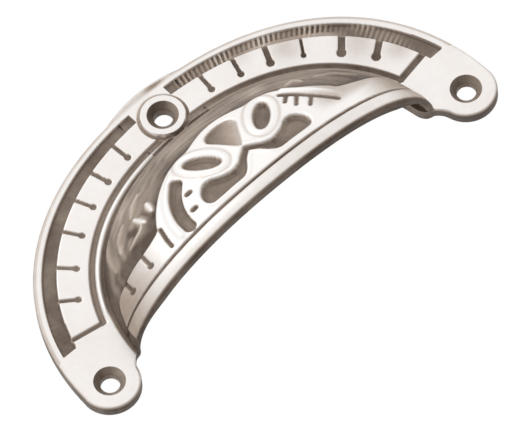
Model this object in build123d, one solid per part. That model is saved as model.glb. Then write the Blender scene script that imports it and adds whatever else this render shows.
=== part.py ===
"""Cast cup pull: one casting with a flanged plate, three screw holes and a hollow ornamented cup.

Frame: the origin is the middle of the line between the two ear screws, on the back face of the plate.
X runs along the pull, Z is up and Y points into the drawer front. Lengths are in millimetres.
"""
from build123d import *

import os
from math import asin, atan2, cos, degrees, hypot, radians, sin

# Plate
SCREW_SPACING = 88.9
EAR_RADIUS = 5.85
PLATE_THICKNESS = 2.5
PLATE_HALF_LENGTH = SCREW_SPACING / 2 + EAR_RADIUS
PLATE_TOP = 41.2
CREST_RISE = 1.0
CREST_HALF_WIDTH = 9.0
EAR_NECK_ANGLE = 195.0

# Arches: every arch of the plate and the cup is one curve |x/a|^n + |z/b|^n = 1 about this level
ARCH_LEVEL = -2.0
ARCH_POWER = 2.2
ARCH_POINTS = 15
ARCH_CROWDING = 1.3

# Cup: it ends short of the plate by a flange
END_FLANGE = 13.0
TOP_FLANGE = 11.2
CUP_HALF_LENGTH = PLATE_HALF_LENGTH - END_FLANGE
CUP_TOP = PLATE_TOP - TOP_FLANGE
CUP_REACH = 19.2
CUP_WALL = 2.3
CUP_CENTRE_DEPTH = 1.0
LIP_LEVEL = 1.0
LIP_CORNER_INSET = 0.3

# Plate relief
CHANNEL_END_MARGIN = 1.8
CHANNEL_TOP_MARGIN = 1.5
CHANNEL_HALF_LENGTH = PLATE_HALF_LENGTH - CHANNEL_END_MARGIN
CHANNEL_TOP = PLATE_TOP - CHANNEL_TOP_MARGIN
CHANNEL_END_WIDTH = 2.8
CHANNEL_TOP_WIDTH = 2.0
CHANNEL_FOOT = 9.6
CHANNEL_DEPTH = 0.8
GROOVE_CLEARANCE = 2.1
GROOVE_HALF_LENGTH = CUP_HALF_LENGTH + GROOVE_CLEARANCE
GROOVE_TOP = CUP_TOP + GROOVE_CLEARANCE
GROOVE_WIDTH = 0.9
GROOVE_DEPTH = 0.5
PIN_ANGLES = (29.5, 40.0, 51.0, 60.5, 69.0, 77.5)
PIN_END_CLEARANCE = 2.8
PIN_TOP_CLEARANCE = 1.75
PIN_STEM = 0.8
PIN_HEAD = 1.4
END_LINE_WIDTH = 1.0
END_LINE_RISE = 1.3
BEAD_WIDTH = 1.0
BEAD_HEIGHT = 0.5
JOIN_OVERLAP = 0.25

# Screw holes and boss
HOLE_RADIUS = 1.85
SINK_RADIUS = 3.0
SINK_DEPTH = 1.15
BOSS_RADIUS = 4.4
BOSS_CLEARANCE = 0.5
BOSS_LEVEL = CUP_TOP + BOSS_RADIUS + BOSS_CLEARANCE
BOSS_HEIGHT = 0.8
BOSS_GROOVE_WIDTH = 0.7

# Cup relief: distances from the ornament's middle and levels in the front view
ORNAMENT_SHIFT = 0.6
WALL_DROP = 0.6
DEEP_DROP = 1.1
LINE_DROP = 0.45
BAND_LINE_LEVEL = 4.4
BAND_LINE_WIDTH = 0.6
MEDALLION_EDGE = ((21.6, 10.6), (18.9, 14.0), (15.0, 17.2), (10.0, 19.7), (5.0, 21.0), (0.0, 21.5))
FLANK_EDGE = ((35.2, 5.0), (34.4, 8.6), (29.5, 9.7), (24.0, 10.3), (21.6, 10.6))
PETAL_CENTRE = (7.4, 15.1)
PETAL_LENGTH = 7.4
PETAL_WIDTH = 3.1
PETAL_TILT = 51.0
FAN_EDGE = ((0.0, 12.3), (1.1, 14.0), (2.6, 16.4), (3.4, 18.2), (2.6, 19.6), (0.0, 20.1))
POD_TOP_EDGE = ((0.0, 11.4), (2.0, 10.2), (4.6, 9.1), (7.4, 9.7), (10.0, 10.8), (12.1, 9.9), (12.8, 7.9))
POD_FOOT_EDGE = ((12.8, 7.9), (12.3, 6.8), (11.0, 6.4))
POD_INNER_EDGE = ((4.6, 6.4), (3.0, 7.4), (1.4, 9.2), (0.0, 10.2))
LEAF_VEIN = ((17.9, 6.5), (16.5, 11.2), (13.0, 15.4))
LEAF_VEIN_WIDTH = 2.3
ARC_LINE = ((22.6, 5.8), (21.7, 9.6), (19.8, 12.8))
ARC_LINE_WIDTH = 0.7
DOT_STARTS = ((12.8, 11.8), (14.2, 8.3))
DOT_LENGTH = 0.7
DOT_WIDTH = 1.1
TICK_POSITIONS = (27.2, 32.0)
TICK_TOP = 9.9
TICK_FOOT = 6.9
TICK_SLANT = 0.3
COMB_LINE = ((13.2, 16.4), (16.7, 12.4), (19.9, 8.2))
COMB_LINE_WIDTH = 1.1
COMB_TEETH = (((14.2, 15.3), (12.7, 13.6)), ((15.4, 13.9), (13.4, 11.9)), ((16.9, 11.9), (15.1, 10.1)))
LOBE_STROKES = (((31.5, 13.4), (28.0, 14.6), (24.2, 14.2)), ((28.4, 18.4), (25.4, 19.2), (22.6, 17.6)))
LOBE_WIDTH = 1.6
LOBE_DROP = 0.2

# Cutters run past the solid by a margin, and the cup's cutters reach well beyond it
CUT_MARGIN = 1.0
CUTTER_REACH = 30.0
SHEET_SIZE = 4 * CUTTER_REACH


def arch_point(half_length, top, angle):
    """Point at a parameter angle on one arch."""
    exponent = 2 / ARCH_POWER
    x = half_length * cos(radians(angle)) ** exponent
    z = ARCH_LEVEL + (top - ARCH_LEVEL) * sin(radians(angle)) ** exponent
    return x, z


def arch_angle(top, level):
    """Parameter angle at which an arch reaches a level."""
    share = (level - ARCH_LEVEL) / (top - ARCH_LEVEL)
    return degrees(asin(share ** (ARCH_POWER / 2)))


def arch_curve(half_length, top, foot):
    """Half an arch, from a level at its right side up to the middle, and its mirror image."""
    start = arch_angle(top, foot)
    shares = [(step / (ARCH_POINTS - 1)) ** ARCH_CROWDING for step in range(ARCH_POINTS)]
    right = [arch_point(half_length, top, start + (90 - start) * share) for share in shares]
    right[-1] = (0.0, top)
    left = [(-x, z) for x, z in reversed(right[:-1])]
    return Spline(*right, *left)


def arch_face(half_length, top, foot):
    """Face under an arch, closed by a level line at its foot."""
    curve = arch_curve(half_length, top, foot)
    return make_face(curve + Line(curve @ 1, curve @ 0))


def arch_band(half_length, top, end_width, top_width, foot):
    """Face between an arch and the arch drawn inward by one width at its ends and another at its top."""
    return arch_face(half_length, top, foot) - arch_face(half_length - end_width, top - top_width, foot)


def from_back(face, start, thickness):
    """Face drawn in X and Z, made solid from a distance in front of the back plane."""
    return extrude(Plane.XZ.offset(start) * face, amount=thickness)


def both_sides(face):
    """Face and its mirror image about the middle of the pull."""
    return face + mirror(face, Plane.YZ)


def stroke(points, width):
    """Round-ended stroke of constant width along an arc through three points."""
    return SlotArc(ThreePointArc(*points), width)


def slot_between(start, end, width):
    """Straight round-ended slot between two points."""
    (x0, z0), (x1, z1) = start, end
    angle = degrees(atan2(z1 - z0, x1 - x0))
    slot = SlotCenterToCenter(hypot(x1 - x0, z1 - z0), width)
    return Pos((x0 + x1) / 2, (z0 + z1) / 2) * Rot(0, 0, angle) * slot


def pin(root, head):
    """Stem between two points with a round head at the second."""
    return slot_between(root, head, PIN_STEM) + Pos(*head) * Circle(PIN_HEAD / 2)


def cup_skin(drop):
    """Solid under the cup's front skin, with the skin drawn inward by a drop."""
    half_length = CUP_HALF_LENGTH - drop
    rise = CUP_TOP - ARCH_LEVEL - drop
    arch = arch_curve(half_length, rise + ARCH_LEVEL, ARCH_LEVEL)
    profile = Pos(0, -ARCH_LEVEL) * make_face(arch + Line(arch @ 1, arch @ 0))
    reach = CUP_REACH + PLATE_THICKNESS - CUP_CENTRE_DEPTH - drop
    dome = scale(revolve(profile, Axis.X, 360), by=(1, reach / rise, 1))
    return Pos(0, -CUP_CENTRE_DEPTH, ARCH_LEVEL) * dome


def plate_outline():
    """Outline of the plate: the outer arch, two ears and the level line between them."""
    ear_x = SCREW_SPACING / 2
    corner_x = CUP_HALF_LENGTH - LIP_CORNER_INSET
    arch = arch_curve(PLATE_HALF_LENGTH, PLATE_TOP, 0.0)
    neck = radians(EAR_NECK_ANGLE)
    neck_point = (ear_x + EAR_RADIUS * cos(neck), EAR_RADIUS * sin(neck))
    ear = ThreePointArc(arch @ 0, (ear_x, -EAR_RADIUS), neck_point)
    corner = TangentArc(neck_point, (corner_x, LIP_LEVEL), tangent=(sin(neck), -cos(neck)))
    half = ear + corner
    level = Line((corner_x, LIP_LEVEL), (-corner_x, LIP_LEVEL))
    return make_face(arch + half + level + mirror(half, Plane.YZ)) + crest()


def crest():
    """Low rise of the plate's outline over the boss."""
    foot_angle = arch_angle_at_x(PLATE_HALF_LENGTH, CREST_HALF_WIDTH)
    foot_z = arch_point(PLATE_HALF_LENGTH, PLATE_TOP, foot_angle)[1]
    arc = ThreePointArc((-CREST_HALF_WIDTH, foot_z), (0, PLATE_TOP + CREST_RISE), (CREST_HALF_WIDTH, foot_z))
    return make_face(arc + Line(arc @ 1, arc @ 0))


def arch_angle_at_x(half_length, x):
    """Parameter angle at which an arch passes a distance from the middle."""
    return 90 - degrees(asin((x / half_length) ** (ARCH_POWER / 2)))


def pins():
    """Six round-headed pins on each side, from the channel toward the cup."""
    root_length = CHANNEL_HALF_LENGTH - CHANNEL_END_WIDTH / 2
    root_top = CHANNEL_TOP - CHANNEL_TOP_WIDTH / 2
    head_length = GROOVE_HALF_LENGTH + PIN_END_CLEARANCE
    head_top = GROOVE_TOP + PIN_TOP_CLEARANCE
    shapes = Sketch()
    for angle in PIN_ANGLES:
        root = arch_point(root_length, root_top, angle)
        head = arch_point(head_length, head_top, angle)
        shapes += both_sides(pin(root, head))
    return shapes


def channel():
    """Sunk channel along the outer arch, broken at the boss, with its pins."""
    band = arch_band(CHANNEL_HALF_LENGTH, CHANNEL_TOP, CHANNEL_END_WIDTH, CHANNEL_TOP_WIDTH, CHANNEL_FOOT)
    gap = Pos(0, CHANNEL_TOP) * Rectangle(2 * BOSS_RADIUS, 4 * CHANNEL_TOP_WIDTH)
    return band - gap + pins()


def inner_groove():
    """Thin groove between the plate and the bead, with the line that joins it to the channel."""
    band = arch_band(GROOVE_HALF_LENGTH, GROOVE_TOP, GROOVE_WIDTH, GROOVE_WIDTH, CHANNEL_FOOT)
    level = CHANNEL_FOOT + END_LINE_WIDTH / 2
    start = (GROOVE_HALF_LENGTH - GROOVE_WIDTH, level)
    end = (CHANNEL_HALF_LENGTH - CHANNEL_END_WIDTH - END_LINE_WIDTH / 2, level + END_LINE_RISE)
    end_line = both_sides(slot_between(start, end, END_LINE_WIDTH))
    ring = Pos(0, BOSS_LEVEL) * Circle(BOSS_RADIUS + BOSS_GROOVE_WIDTH)
    return band + end_line + ring - Pos(0, BOSS_LEVEL) * Circle(BOSS_RADIUS - JOIN_OVERLAP)


def screw_hole(x, z, face_level):
    """Countersunk hole from a face down to the back plane."""
    hole = from_back(Pos(x, z) * Circle(HOLE_RADIUS), -CUT_MARGIN, face_level + 2 * CUT_MARGIN)
    sink = Rot(90, 0, 0) * Cone(HOLE_RADIUS, SINK_RADIUS, SINK_DEPTH)
    return hole + Pos(x, SINK_DEPTH / 2 - face_level, z) * sink


def petals():
    """Two leaning petals, the fan between them and the pair of pods below."""
    petal = Pos(*PETAL_CENTRE) * Rot(0, 0, PETAL_TILT) * Ellipse(PETAL_LENGTH / 2, PETAL_WIDTH / 2)
    fan_right = Spline(*FAN_EDGE)
    fan = make_face(fan_right + mirror(fan_right, Plane.YZ))
    foot = Line(POD_FOOT_EDGE[-1], POD_INNER_EDGE[0])
    pod_right = Spline(*POD_TOP_EDGE) + Spline(*POD_FOOT_EDGE) + foot + Spline(*POD_INNER_EDGE)
    stem = Line(POD_INNER_EDGE[-1], POD_TOP_EDGE[0])
    return both_sides(petal) + fan + both_sides(make_face(pod_right + stem))


def deep_relief():
    """Deep recesses of the cup: petals, fan, pods and the leaf vein on the left of them."""
    return petals() + mirror(stroke(LEAF_VEIN, LEAF_VEIN_WIDTH), Plane.YZ)


def left_lines():
    """Fine lines on the left: the arc line, the dots beside the pod and the flank ticks."""
    lines = stroke(ARC_LINE, ARC_LINE_WIDTH)
    for x, z in DOT_STARTS:
        lines += slot_between((x, z), (x + DOT_LENGTH, z), DOT_WIDTH)
    for x in TICK_POSITIONS:
        lines += pin((x, TICK_TOP), (x + TICK_SLANT, TICK_FOOT))
    return mirror(lines, Plane.YZ)


def right_lines():
    """Fine lines on the right: a leaf line with three teeth toward the petal."""
    lines = stroke(COMB_LINE, COMB_LINE_WIDTH)
    for root, tip in COMB_TEETH:
        lines += slot_between(root, tip, PIN_STEM)
    return lines


def raised_field():
    """Front view of what stands above the cup's wall: the medallion and both flanks."""
    edge = Spline(*MEDALLION_EDGE) + Polyline(*FLANK_EDGE)
    foot = Line(FLANK_EDGE[0], (0, FLANK_EDGE[0][1]))
    middle = Line((0, FLANK_EDGE[0][1]), MEDALLION_EDGE[-1])
    return both_sides(make_face(edge + foot + middle))


def lobes():
    """Curled leaf lobes that stand on the cup's wall above each flank."""
    shapes = Sketch()
    for points in LOBE_STROKES:
        shapes += stroke(points, LOBE_WIDTH)
    return both_sides(shapes)


def sunk(face, drop):
    """Cutter that lowers the cup's skin by a drop inside a face."""
    return from_back(Pos(ORNAMENT_SHIFT, 0) * face, PLATE_THICKNESS, CUTTER_REACH) - cup_skin(drop)


def cup_body():
    """Cup in front of the plate, solid, with its relief."""
    above_lip = Pos(0, LIP_LEVEL + SHEET_SIZE / 2) * Rectangle(SHEET_SIZE, SHEET_SIZE)
    body = cup_skin(0) & from_back(above_lip, PLATE_THICKNESS / 2, CUTTER_REACH)
    above_flank = Pos(0, FLANK_EDGE[0][1] + SHEET_SIZE / 2) * Rectangle(SHEET_SIZE, SHEET_SIZE)
    wall = above_flank - raised_field() - lobes()
    band_line = Pos(0, BAND_LINE_LEVEL) * Rectangle(SHEET_SIZE, BAND_LINE_WIDTH)
    body -= sunk(band_line, LINE_DROP)
    body -= sunk(wall, WALL_DROP)
    body -= sunk(lobes(), LOBE_DROP)
    body -= sunk(deep_relief(), DEEP_DROP)
    return body - sunk(left_lines() + right_lines(), LINE_DROP)


def plate_body():
    """Plate with its bead, boss, channel and grooves."""
    plate = from_back(plate_outline(), 0, PLATE_THICKNESS)
    plate -= from_back(channel(), PLATE_THICKNESS - CHANNEL_DEPTH, CHANNEL_DEPTH)
    plate -= from_back(inner_groove(), PLATE_THICKNESS - GROOVE_DEPTH, GROOVE_DEPTH)
    bead_width = BEAD_WIDTH + JOIN_OVERLAP
    bead = arch_band(CUP_HALF_LENGTH + BEAD_WIDTH, CUP_TOP + BEAD_WIDTH, bead_width, bead_width, LIP_LEVEL)
    plate += from_back(bead, 0, PLATE_THICKNESS + BEAD_HEIGHT)
    plate += from_back(Pos(0, BOSS_LEVEL) * Circle(BOSS_RADIUS), 0, PLATE_THICKNESS + BOSS_HEIGHT)
    for x in (-SCREW_SPACING / 2, SCREW_SPACING / 2):
        plate -= screw_hole(x, 0, PLATE_THICKNESS)
    return plate - screw_hole(0, BOSS_LEVEL, PLATE_THICKNESS + BOSS_HEIGHT)


def cup_pull():
    """Whole casting, hollow behind the cup."""
    return plate_body() + cup_body() - cup_skin(CUP_WALL)


os.makedirs("parts", exist_ok=True)
export_step(cup_pull().solid(), "parts/cup_pull.step")
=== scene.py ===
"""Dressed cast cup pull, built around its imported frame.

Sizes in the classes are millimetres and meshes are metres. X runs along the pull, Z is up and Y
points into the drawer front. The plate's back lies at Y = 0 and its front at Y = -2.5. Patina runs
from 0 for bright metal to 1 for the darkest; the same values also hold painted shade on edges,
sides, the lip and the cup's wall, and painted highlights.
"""

import logging
import math
from dataclasses import dataclass, field
from enum import Enum

import bmesh
import bpy
import numpy as np
from mathutils import Matrix, Vector


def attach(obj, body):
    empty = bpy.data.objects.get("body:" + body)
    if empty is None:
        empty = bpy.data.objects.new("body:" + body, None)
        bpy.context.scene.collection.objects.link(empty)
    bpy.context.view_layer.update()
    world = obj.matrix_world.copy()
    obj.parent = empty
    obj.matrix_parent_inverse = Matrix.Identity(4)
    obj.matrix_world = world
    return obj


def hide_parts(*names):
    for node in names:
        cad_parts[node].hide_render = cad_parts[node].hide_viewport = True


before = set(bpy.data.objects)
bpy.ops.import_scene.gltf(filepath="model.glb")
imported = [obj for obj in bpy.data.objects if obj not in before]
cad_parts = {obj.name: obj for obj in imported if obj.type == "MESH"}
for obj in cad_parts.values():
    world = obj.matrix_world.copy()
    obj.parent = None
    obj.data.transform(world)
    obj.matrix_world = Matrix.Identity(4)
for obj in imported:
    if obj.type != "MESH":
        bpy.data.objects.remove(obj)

LOG = logging.getLogger("cup_pull")
METRE = 0.001
NODE = "cup_pull"
BODY = "root"
SHARP_ANGLE = math.radians(60.0)
MERGE_DISTANCE = 1e-6
THIN_FACE_DISTANCE = 1e-7
FAR = 1e9
SMALL = 1e-6
TINY = 1e-12
CURVE_STEPS = 8
QUARTER_TURN = np.linspace(0.0, math.pi / 2, 6)
MIRROR = np.array([-1.0, 1.0])

Point = tuple[float, float]
Points = tuple[Point, ...]
Colour = tuple[float, float, float, float]


class Side(Enum):
    """Side of the pull that a piece or a stroke belongs to."""

    LEFT = -1.0
    RIGHT = 1.0


class Part(Enum):
    """Part of a plate length's section that a grid line lies on."""

    INNER = "inner"
    HOLE = "hole"
    SINK = "sink"
    FRONT = "front"
    EDGE = "edge"
    SIDE = "side"
    BACK = "back"


# Shared shapes in the front view


def ease(low: float, high: float, values: np.ndarray) -> np.ndarray:
    """Smooth step 3t^2 - 2t^3 from 0 at low to 1 at high.

    Args:
        low: Value at which the step starts.
        high: Value at which it ends; it may be the smaller of the two.
        values: Numbers to map.

    Returns:
        The mapped numbers, from 0 to 1.
    """
    t = np.clip((values - low) / (high - low), 0.0, 1.0)
    return t * t * (3.0 - 2.0 * t)


def bump(width: float, distance: np.ndarray) -> np.ndarray:
    """Half-round swell cos^2(pi d / 2w) for |d| < w, else 0.

    Args:
        width: Distance at which the swell ends.
        distance: Distance from the swell's crest.

    Returns:
        Height of the swell, from 0 to 1.
    """
    return np.cos(np.clip(np.abs(distance) / width, 0.0, 1.0) * math.pi / 2) ** 2


def smooth_path(points: Points) -> np.ndarray:
    """Catmull-Rom curve through points, sampled evenly between each pair.

    From b to c, between neighbours a and d, it is
    (2b + (c - a) t + (2a - 5b + 4c - d) t^2 + (3b - a - 3c + d) t^3) / 2.

    Args:
        points: Points to pass through.

    Returns:
        Array of shape (m, 2).
    """
    knots = np.asarray(points, float)
    row = np.vstack([knots[:1], knots, knots[-1:]])
    t = (np.arange(CURVE_STEPS) / CURVE_STEPS)[None, :, None]
    a, b, c, d = (row[first:len(row) - 3 + first, None, :] for first in range(4))
    curve = 0.5 * (2 * b + (c - a) * t + (2 * a - 5 * b + 4 * c - d) * t**2
                   + (3 * b - a - 3 * c + d) * t**3)
    return np.vstack([curve.reshape(-1, 2), knots[-1:]])


def path_distance(x: np.ndarray, z: np.ndarray, path: np.ndarray | Points,
                  closed: bool = False) -> np.ndarray:
    """Least distance to the straight runs of a path.

    Args:
        x: Front-view X of the queries.
        z: Front-view Z of the queries.
        path: Corners of the path, of shape (n, 2).
        closed: Whether the last point runs back to the first.

    Returns:
        Distances, shaped as x.
    """
    path = np.asarray(path, float)
    ends = np.vstack([path, path[:1]]) if closed else path
    best = np.full(np.shape(x), FAR)
    for (ax, az), (bx, bz) in zip(ends[:-1], ends[1:]):
        square = max((bx - ax) ** 2 + (bz - az) ** 2, TINY)
        t = np.clip(((x - ax) * (bx - ax) + (z - az) * (bz - az)) / square, 0.0, 1.0)
        best = np.minimum(best, np.hypot(x - ax - t * (bx - ax), z - az - t * (bz - az)))
    return best


def outline_offset(x: np.ndarray, z: np.ndarray, outline: np.ndarray) -> np.ndarray:
    """Signed distance to a closed outline, negative inside by the even-odd rule.

    Args:
        x: Front-view X of the queries.
        z: Front-view Z of the queries.
        outline: Array of shape (n, 2).

    Returns:
        Signed distances, shaped as x.
    """
    inside = np.zeros(np.shape(x), bool)
    for (ax, az), (bx, bz) in zip(outline, np.roll(outline, -1, axis=0)):
        crosses = (az > z) != (bz > z)
        rise = bz - az if bz != az else TINY
        inside ^= crosses & (x < ax + (bx - ax) * (z - az) / rise)
    distance = path_distance(x, z, outline, closed=True)
    return np.where(inside, -distance, distance)


def mirrored(points: Points) -> np.ndarray:
    """Closed outline from the smooth right half of a shape that is alike on both sides."""
    half = smooth_path(points)
    return np.vstack([half, half[::-1] * MIRROR])


@dataclass(frozen=True)
class Stroke:
    """Round-ended stroke of even width on one side of the ornament's middle.

    Attributes:
        side: Side that it lies on; its points are given for the right.
        half_width: Half of its width; a stroke with two like points is a round dot.
        points: Middle line.
        curved: Whether a smooth curve joins the points.
    """

    side: Side
    half_width: float
    points: Points
    curved: bool = False

    def offset(self, u: np.ndarray, z: np.ndarray) -> np.ndarray:
        """Distance outside the stroke's edge, negative inside."""
        path = smooth_path(self.points) if self.curved else self.points
        return path_distance(self.side.value * u, z, path) - self.half_width


@dataclass(frozen=True)
class Lobe:
    """Curled lobe that stands on the cup's wall.

    Attributes:
        side: Side that it lies on; its points are given for the right.
        half_width: Greatest half width.
        gleam: Share of the patina that is rubbed off it.
        points: Middle line.
        tip: Share of the half turn that is cut off at each tip.
    """

    side: Side
    half_width: float
    gleam: float
    points: Points
    tip: float = 0.06

    def reach(self, u: np.ndarray, z: np.ndarray) -> np.ndarray:
        """Distance over the own half width, which swells as sqrt(sin(pi t)) along the path.

        Args:
            u: Signed distance from the ornament's middle.
            z: Front-view Z.

        Returns:
            Least share, shaped as u: 0 on the line and 1 on the lobe's edge.
        """
        path = smooth_path(self.points)
        turn = math.pi * np.linspace(self.tip, 1.0 - self.tip, len(path))
        best = np.full(np.shape(u), FAR)
        for (x, level), radius in zip(path, self.half_width * np.sqrt(np.sin(turn))):
            best = np.minimum(best, np.hypot(self.side.value * u - x, z - level) / radius)
        return best


@dataclass(frozen=True)
class Blot:
    """Soft dark place, or, where the shade is negative, a light place painted as a highlight."""

    x: float
    z: float
    half_x: float
    half_z: float
    shade: float

    def patina(self, u: np.ndarray, z: np.ndarray) -> np.ndarray:
        """Patina that it adds: its shade times a swell in X and a swell in Z."""
        return self.shade * bump(self.half_x, u - self.x) * bump(self.half_z, z - self.z)


@dataclass(frozen=True)
class Arch:
    """One arch |x/a|^n + |(z - c)/b|^n = 1 of the plate or the cup."""

    half_length: float
    top: float
    level: float = -2.0
    power: float = 2.2

    def inward(self, inset: float) -> "Arch":
        """Arch drawn inward by an inset."""
        return Arch(self.half_length - inset, self.top - inset, self.level, self.power)

    def toward(self, other: "Arch", share: float) -> "Arch":
        """Arch part of the way to another arch.

        Args:
            other: Arch to move toward.
            share: Share of the way, from 0 to 1.

        Returns:
            The arch between.
        """
        half_length = self.half_length + (other.half_length - self.half_length) * share
        top = self.top + (other.top - self.top) * share
        return Arch(half_length, top, self.level, self.power)

    def points(self, angle: np.ndarray) -> tuple[np.ndarray, np.ndarray]:
        """Points (a cos^k t, c + b sin^k t) with k = 2/n.

        Args:
            angle: Parameter angles in radians, from 0 to pi.

        Returns:
            X and Z arrays.
        """
        exponent = 2.0 / self.power
        x = self.half_length * np.sign(np.cos(angle)) * np.abs(np.cos(angle)) ** exponent
        z = self.level + (self.top - self.level) * np.abs(np.sin(angle)) ** exponent
        return x, z

    def level_at(self, x: np.ndarray) -> np.ndarray:
        """Z of the arch over an X: c + b (1 - |x/a|^n)^(1/n)."""
        share = 1.0 - np.abs(x / self.half_length) ** self.power
        return self.level + (self.top - self.level) * share ** (1 / self.power)

    def angle_at_level(self, z: float) -> float:
        """Parameter angle on the right side at which the arch reaches a level."""
        share = (z - self.level) / (self.top - self.level)
        return math.asin(min(max(share, 0.0), 1.0) ** (self.power / 2))

    def angle_at_x(self, x: float) -> float:
        """Parameter angle on the right at which the arch passes a distance from the middle."""
        return math.pi / 2 - math.asin(min(x / self.half_length, 1.0) ** (self.power / 2))

    def offset(self, x: np.ndarray, z: np.ndarray) -> np.ndarray:
        """Distance outward from the arch, along the ray from its centre: r - r / rho.

        Args:
            x: Front-view X of the queries.
            z: Front-view Z of the queries.

        Returns:
            Offsets, negative inside.
        """
        rise = np.abs((z - self.level) / (self.top - self.level)) ** self.power
        rho = (np.abs(x / self.half_length) ** self.power + rise) ** (1 / self.power)
        return np.hypot(x, z - self.level) * (1.0 - 1.0 / np.maximum(rho, SMALL))


CUP_ARCH = Arch(37.3, 30.0)
PLATE_INNER_ARCH = Arch(35.1, 27.8)
LIP_LEVEL = 1.0
JOINT_LEVEL = 9.0
JOINT_X = 7.0


# Meshes


@dataclass
class Patch:
    """Grid surface with a patina value at each point.

    Attributes:
        points: Array of shape (rows, columns, 3) in millimetres.
        patina: Array of shape (rows, columns).
        wrap_rows: Whether the last row joins the first.
        wrap_columns: Whether the last column joins the first.
    """

    points: np.ndarray
    patina: np.ndarray
    wrap_rows: bool = True
    wrap_columns: bool = False

    def faces(self) -> np.ndarray:
        """Quads (i, j), (i, j+1), (i+1, j+1), (i+1, j) over the grid.

        Returns:
            Point numbers, of shape (quads, 4).
        """
        rows, columns = self.patina.shape
        i = np.arange(rows if self.wrap_rows else rows - 1)[:, None]
        j = np.arange(columns if self.wrap_columns else columns - 1)[None, :]
        up, across = (i + 1) % rows, (j + 1) % columns
        corners = [i * columns + j, i * columns + across, up * columns + across, up * columns + j]
        wide = [np.broadcast_to(corner, (i.size, j.size)) for corner in corners]
        return np.stack(wide, axis=-1).reshape(-1, 4)

    def capped(self) -> "Patch":
        """Closes a tube: each end section is fanned to its middle point, level with its back.

        Returns:
            The surface with two more columns at each end.
        """
        ends, shades = [], []
        for column in (slice(0, 1), slice(-1, None)):
            section = self.points[:, column]
            middle = section.mean(axis=0, keepdims=True)
            middle[..., 1] = section[..., 1].max()
            ends.append([middle.repeat(len(section), axis=0), section])
            shades += [self.patina[:, column]] * 2
        points = np.concatenate([*ends[0], self.points, *ends[1][::-1]], axis=1)
        patina = np.concatenate([*shades[:2], self.patina, *shades[2:]], axis=1)
        return Patch(points, patina)


def build_piece(name: str, patch: Patch, material: bpy.types.Material) -> bpy.types.Object:
    """Mesh object from one patch, closed, facing outward and smooth.

    Args:
        name: Name of the object.
        patch: Surface to build.
        material: Finish of the piece.

    Returns:
        The new object, at the origin.
    """
    rows, columns = patch.patina.shape
    quads = patch.faces()
    mesh = bpy.data.meshes.new(name)
    mesh.vertices.add(rows * columns)
    places = (patch.points * METRE).reshape(-1).astype(np.float32)
    mesh.vertices.foreach_set("co", places)
    mesh.loops.add(quads.size)
    mesh.loops.foreach_set("vertex_index", quads.reshape(-1).astype(np.int32))
    mesh.polygons.add(len(quads))
    mesh.polygons.foreach_set("loop_start", np.arange(0, quads.size, 4, dtype=np.int32))
    mesh.update(calc_edges=True)
    layer = mesh.attributes.new("patina", "FLOAT", "POINT")
    shades = np.clip(patch.patina, 0.0, 1.0).reshape(-1).astype(np.float32)
    layer.data.foreach_set("value", shades)
    mesh.materials.append(material)
    piece = bpy.data.objects.new(name, mesh)
    bpy.context.collection.objects.link(piece)
    close_mesh(mesh)
    mesh.polygons.foreach_set("use_smooth", np.ones(len(mesh.polygons), bool))
    mesh.set_sharp_from_angle(angle=SHARP_ANGLE)
    mesh.update()
    return piece


def close_mesh(mesh: bpy.types.Mesh) -> None:
    """Merges doubled points, drops faces without area and turns the faces outward.

    Args:
        mesh: Mesh to clean.
    """
    work = bmesh.new()
    work.from_mesh(mesh)
    bmesh.ops.remove_doubles(work, verts=work.verts, dist=MERGE_DISTANCE)
    bmesh.ops.dissolve_degenerate(work, edges=work.edges, dist=THIN_FACE_DISTANCE)
    bmesh.ops.recalc_face_normals(work, faces=work.faces)
    work.to_mesh(mesh)
    work.free()


# Relief of the plate


@dataclass
class PlateMasks:
    """Masks of the plate's features at each point of its front, from 0 to 1."""

    channel: np.ndarray
    teeth_and_gleam: np.ndarray
    pins: np.ndarray
    groove: np.ndarray
    bead: np.ndarray
    ring: np.ndarray
    boss: np.ndarray


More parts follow.
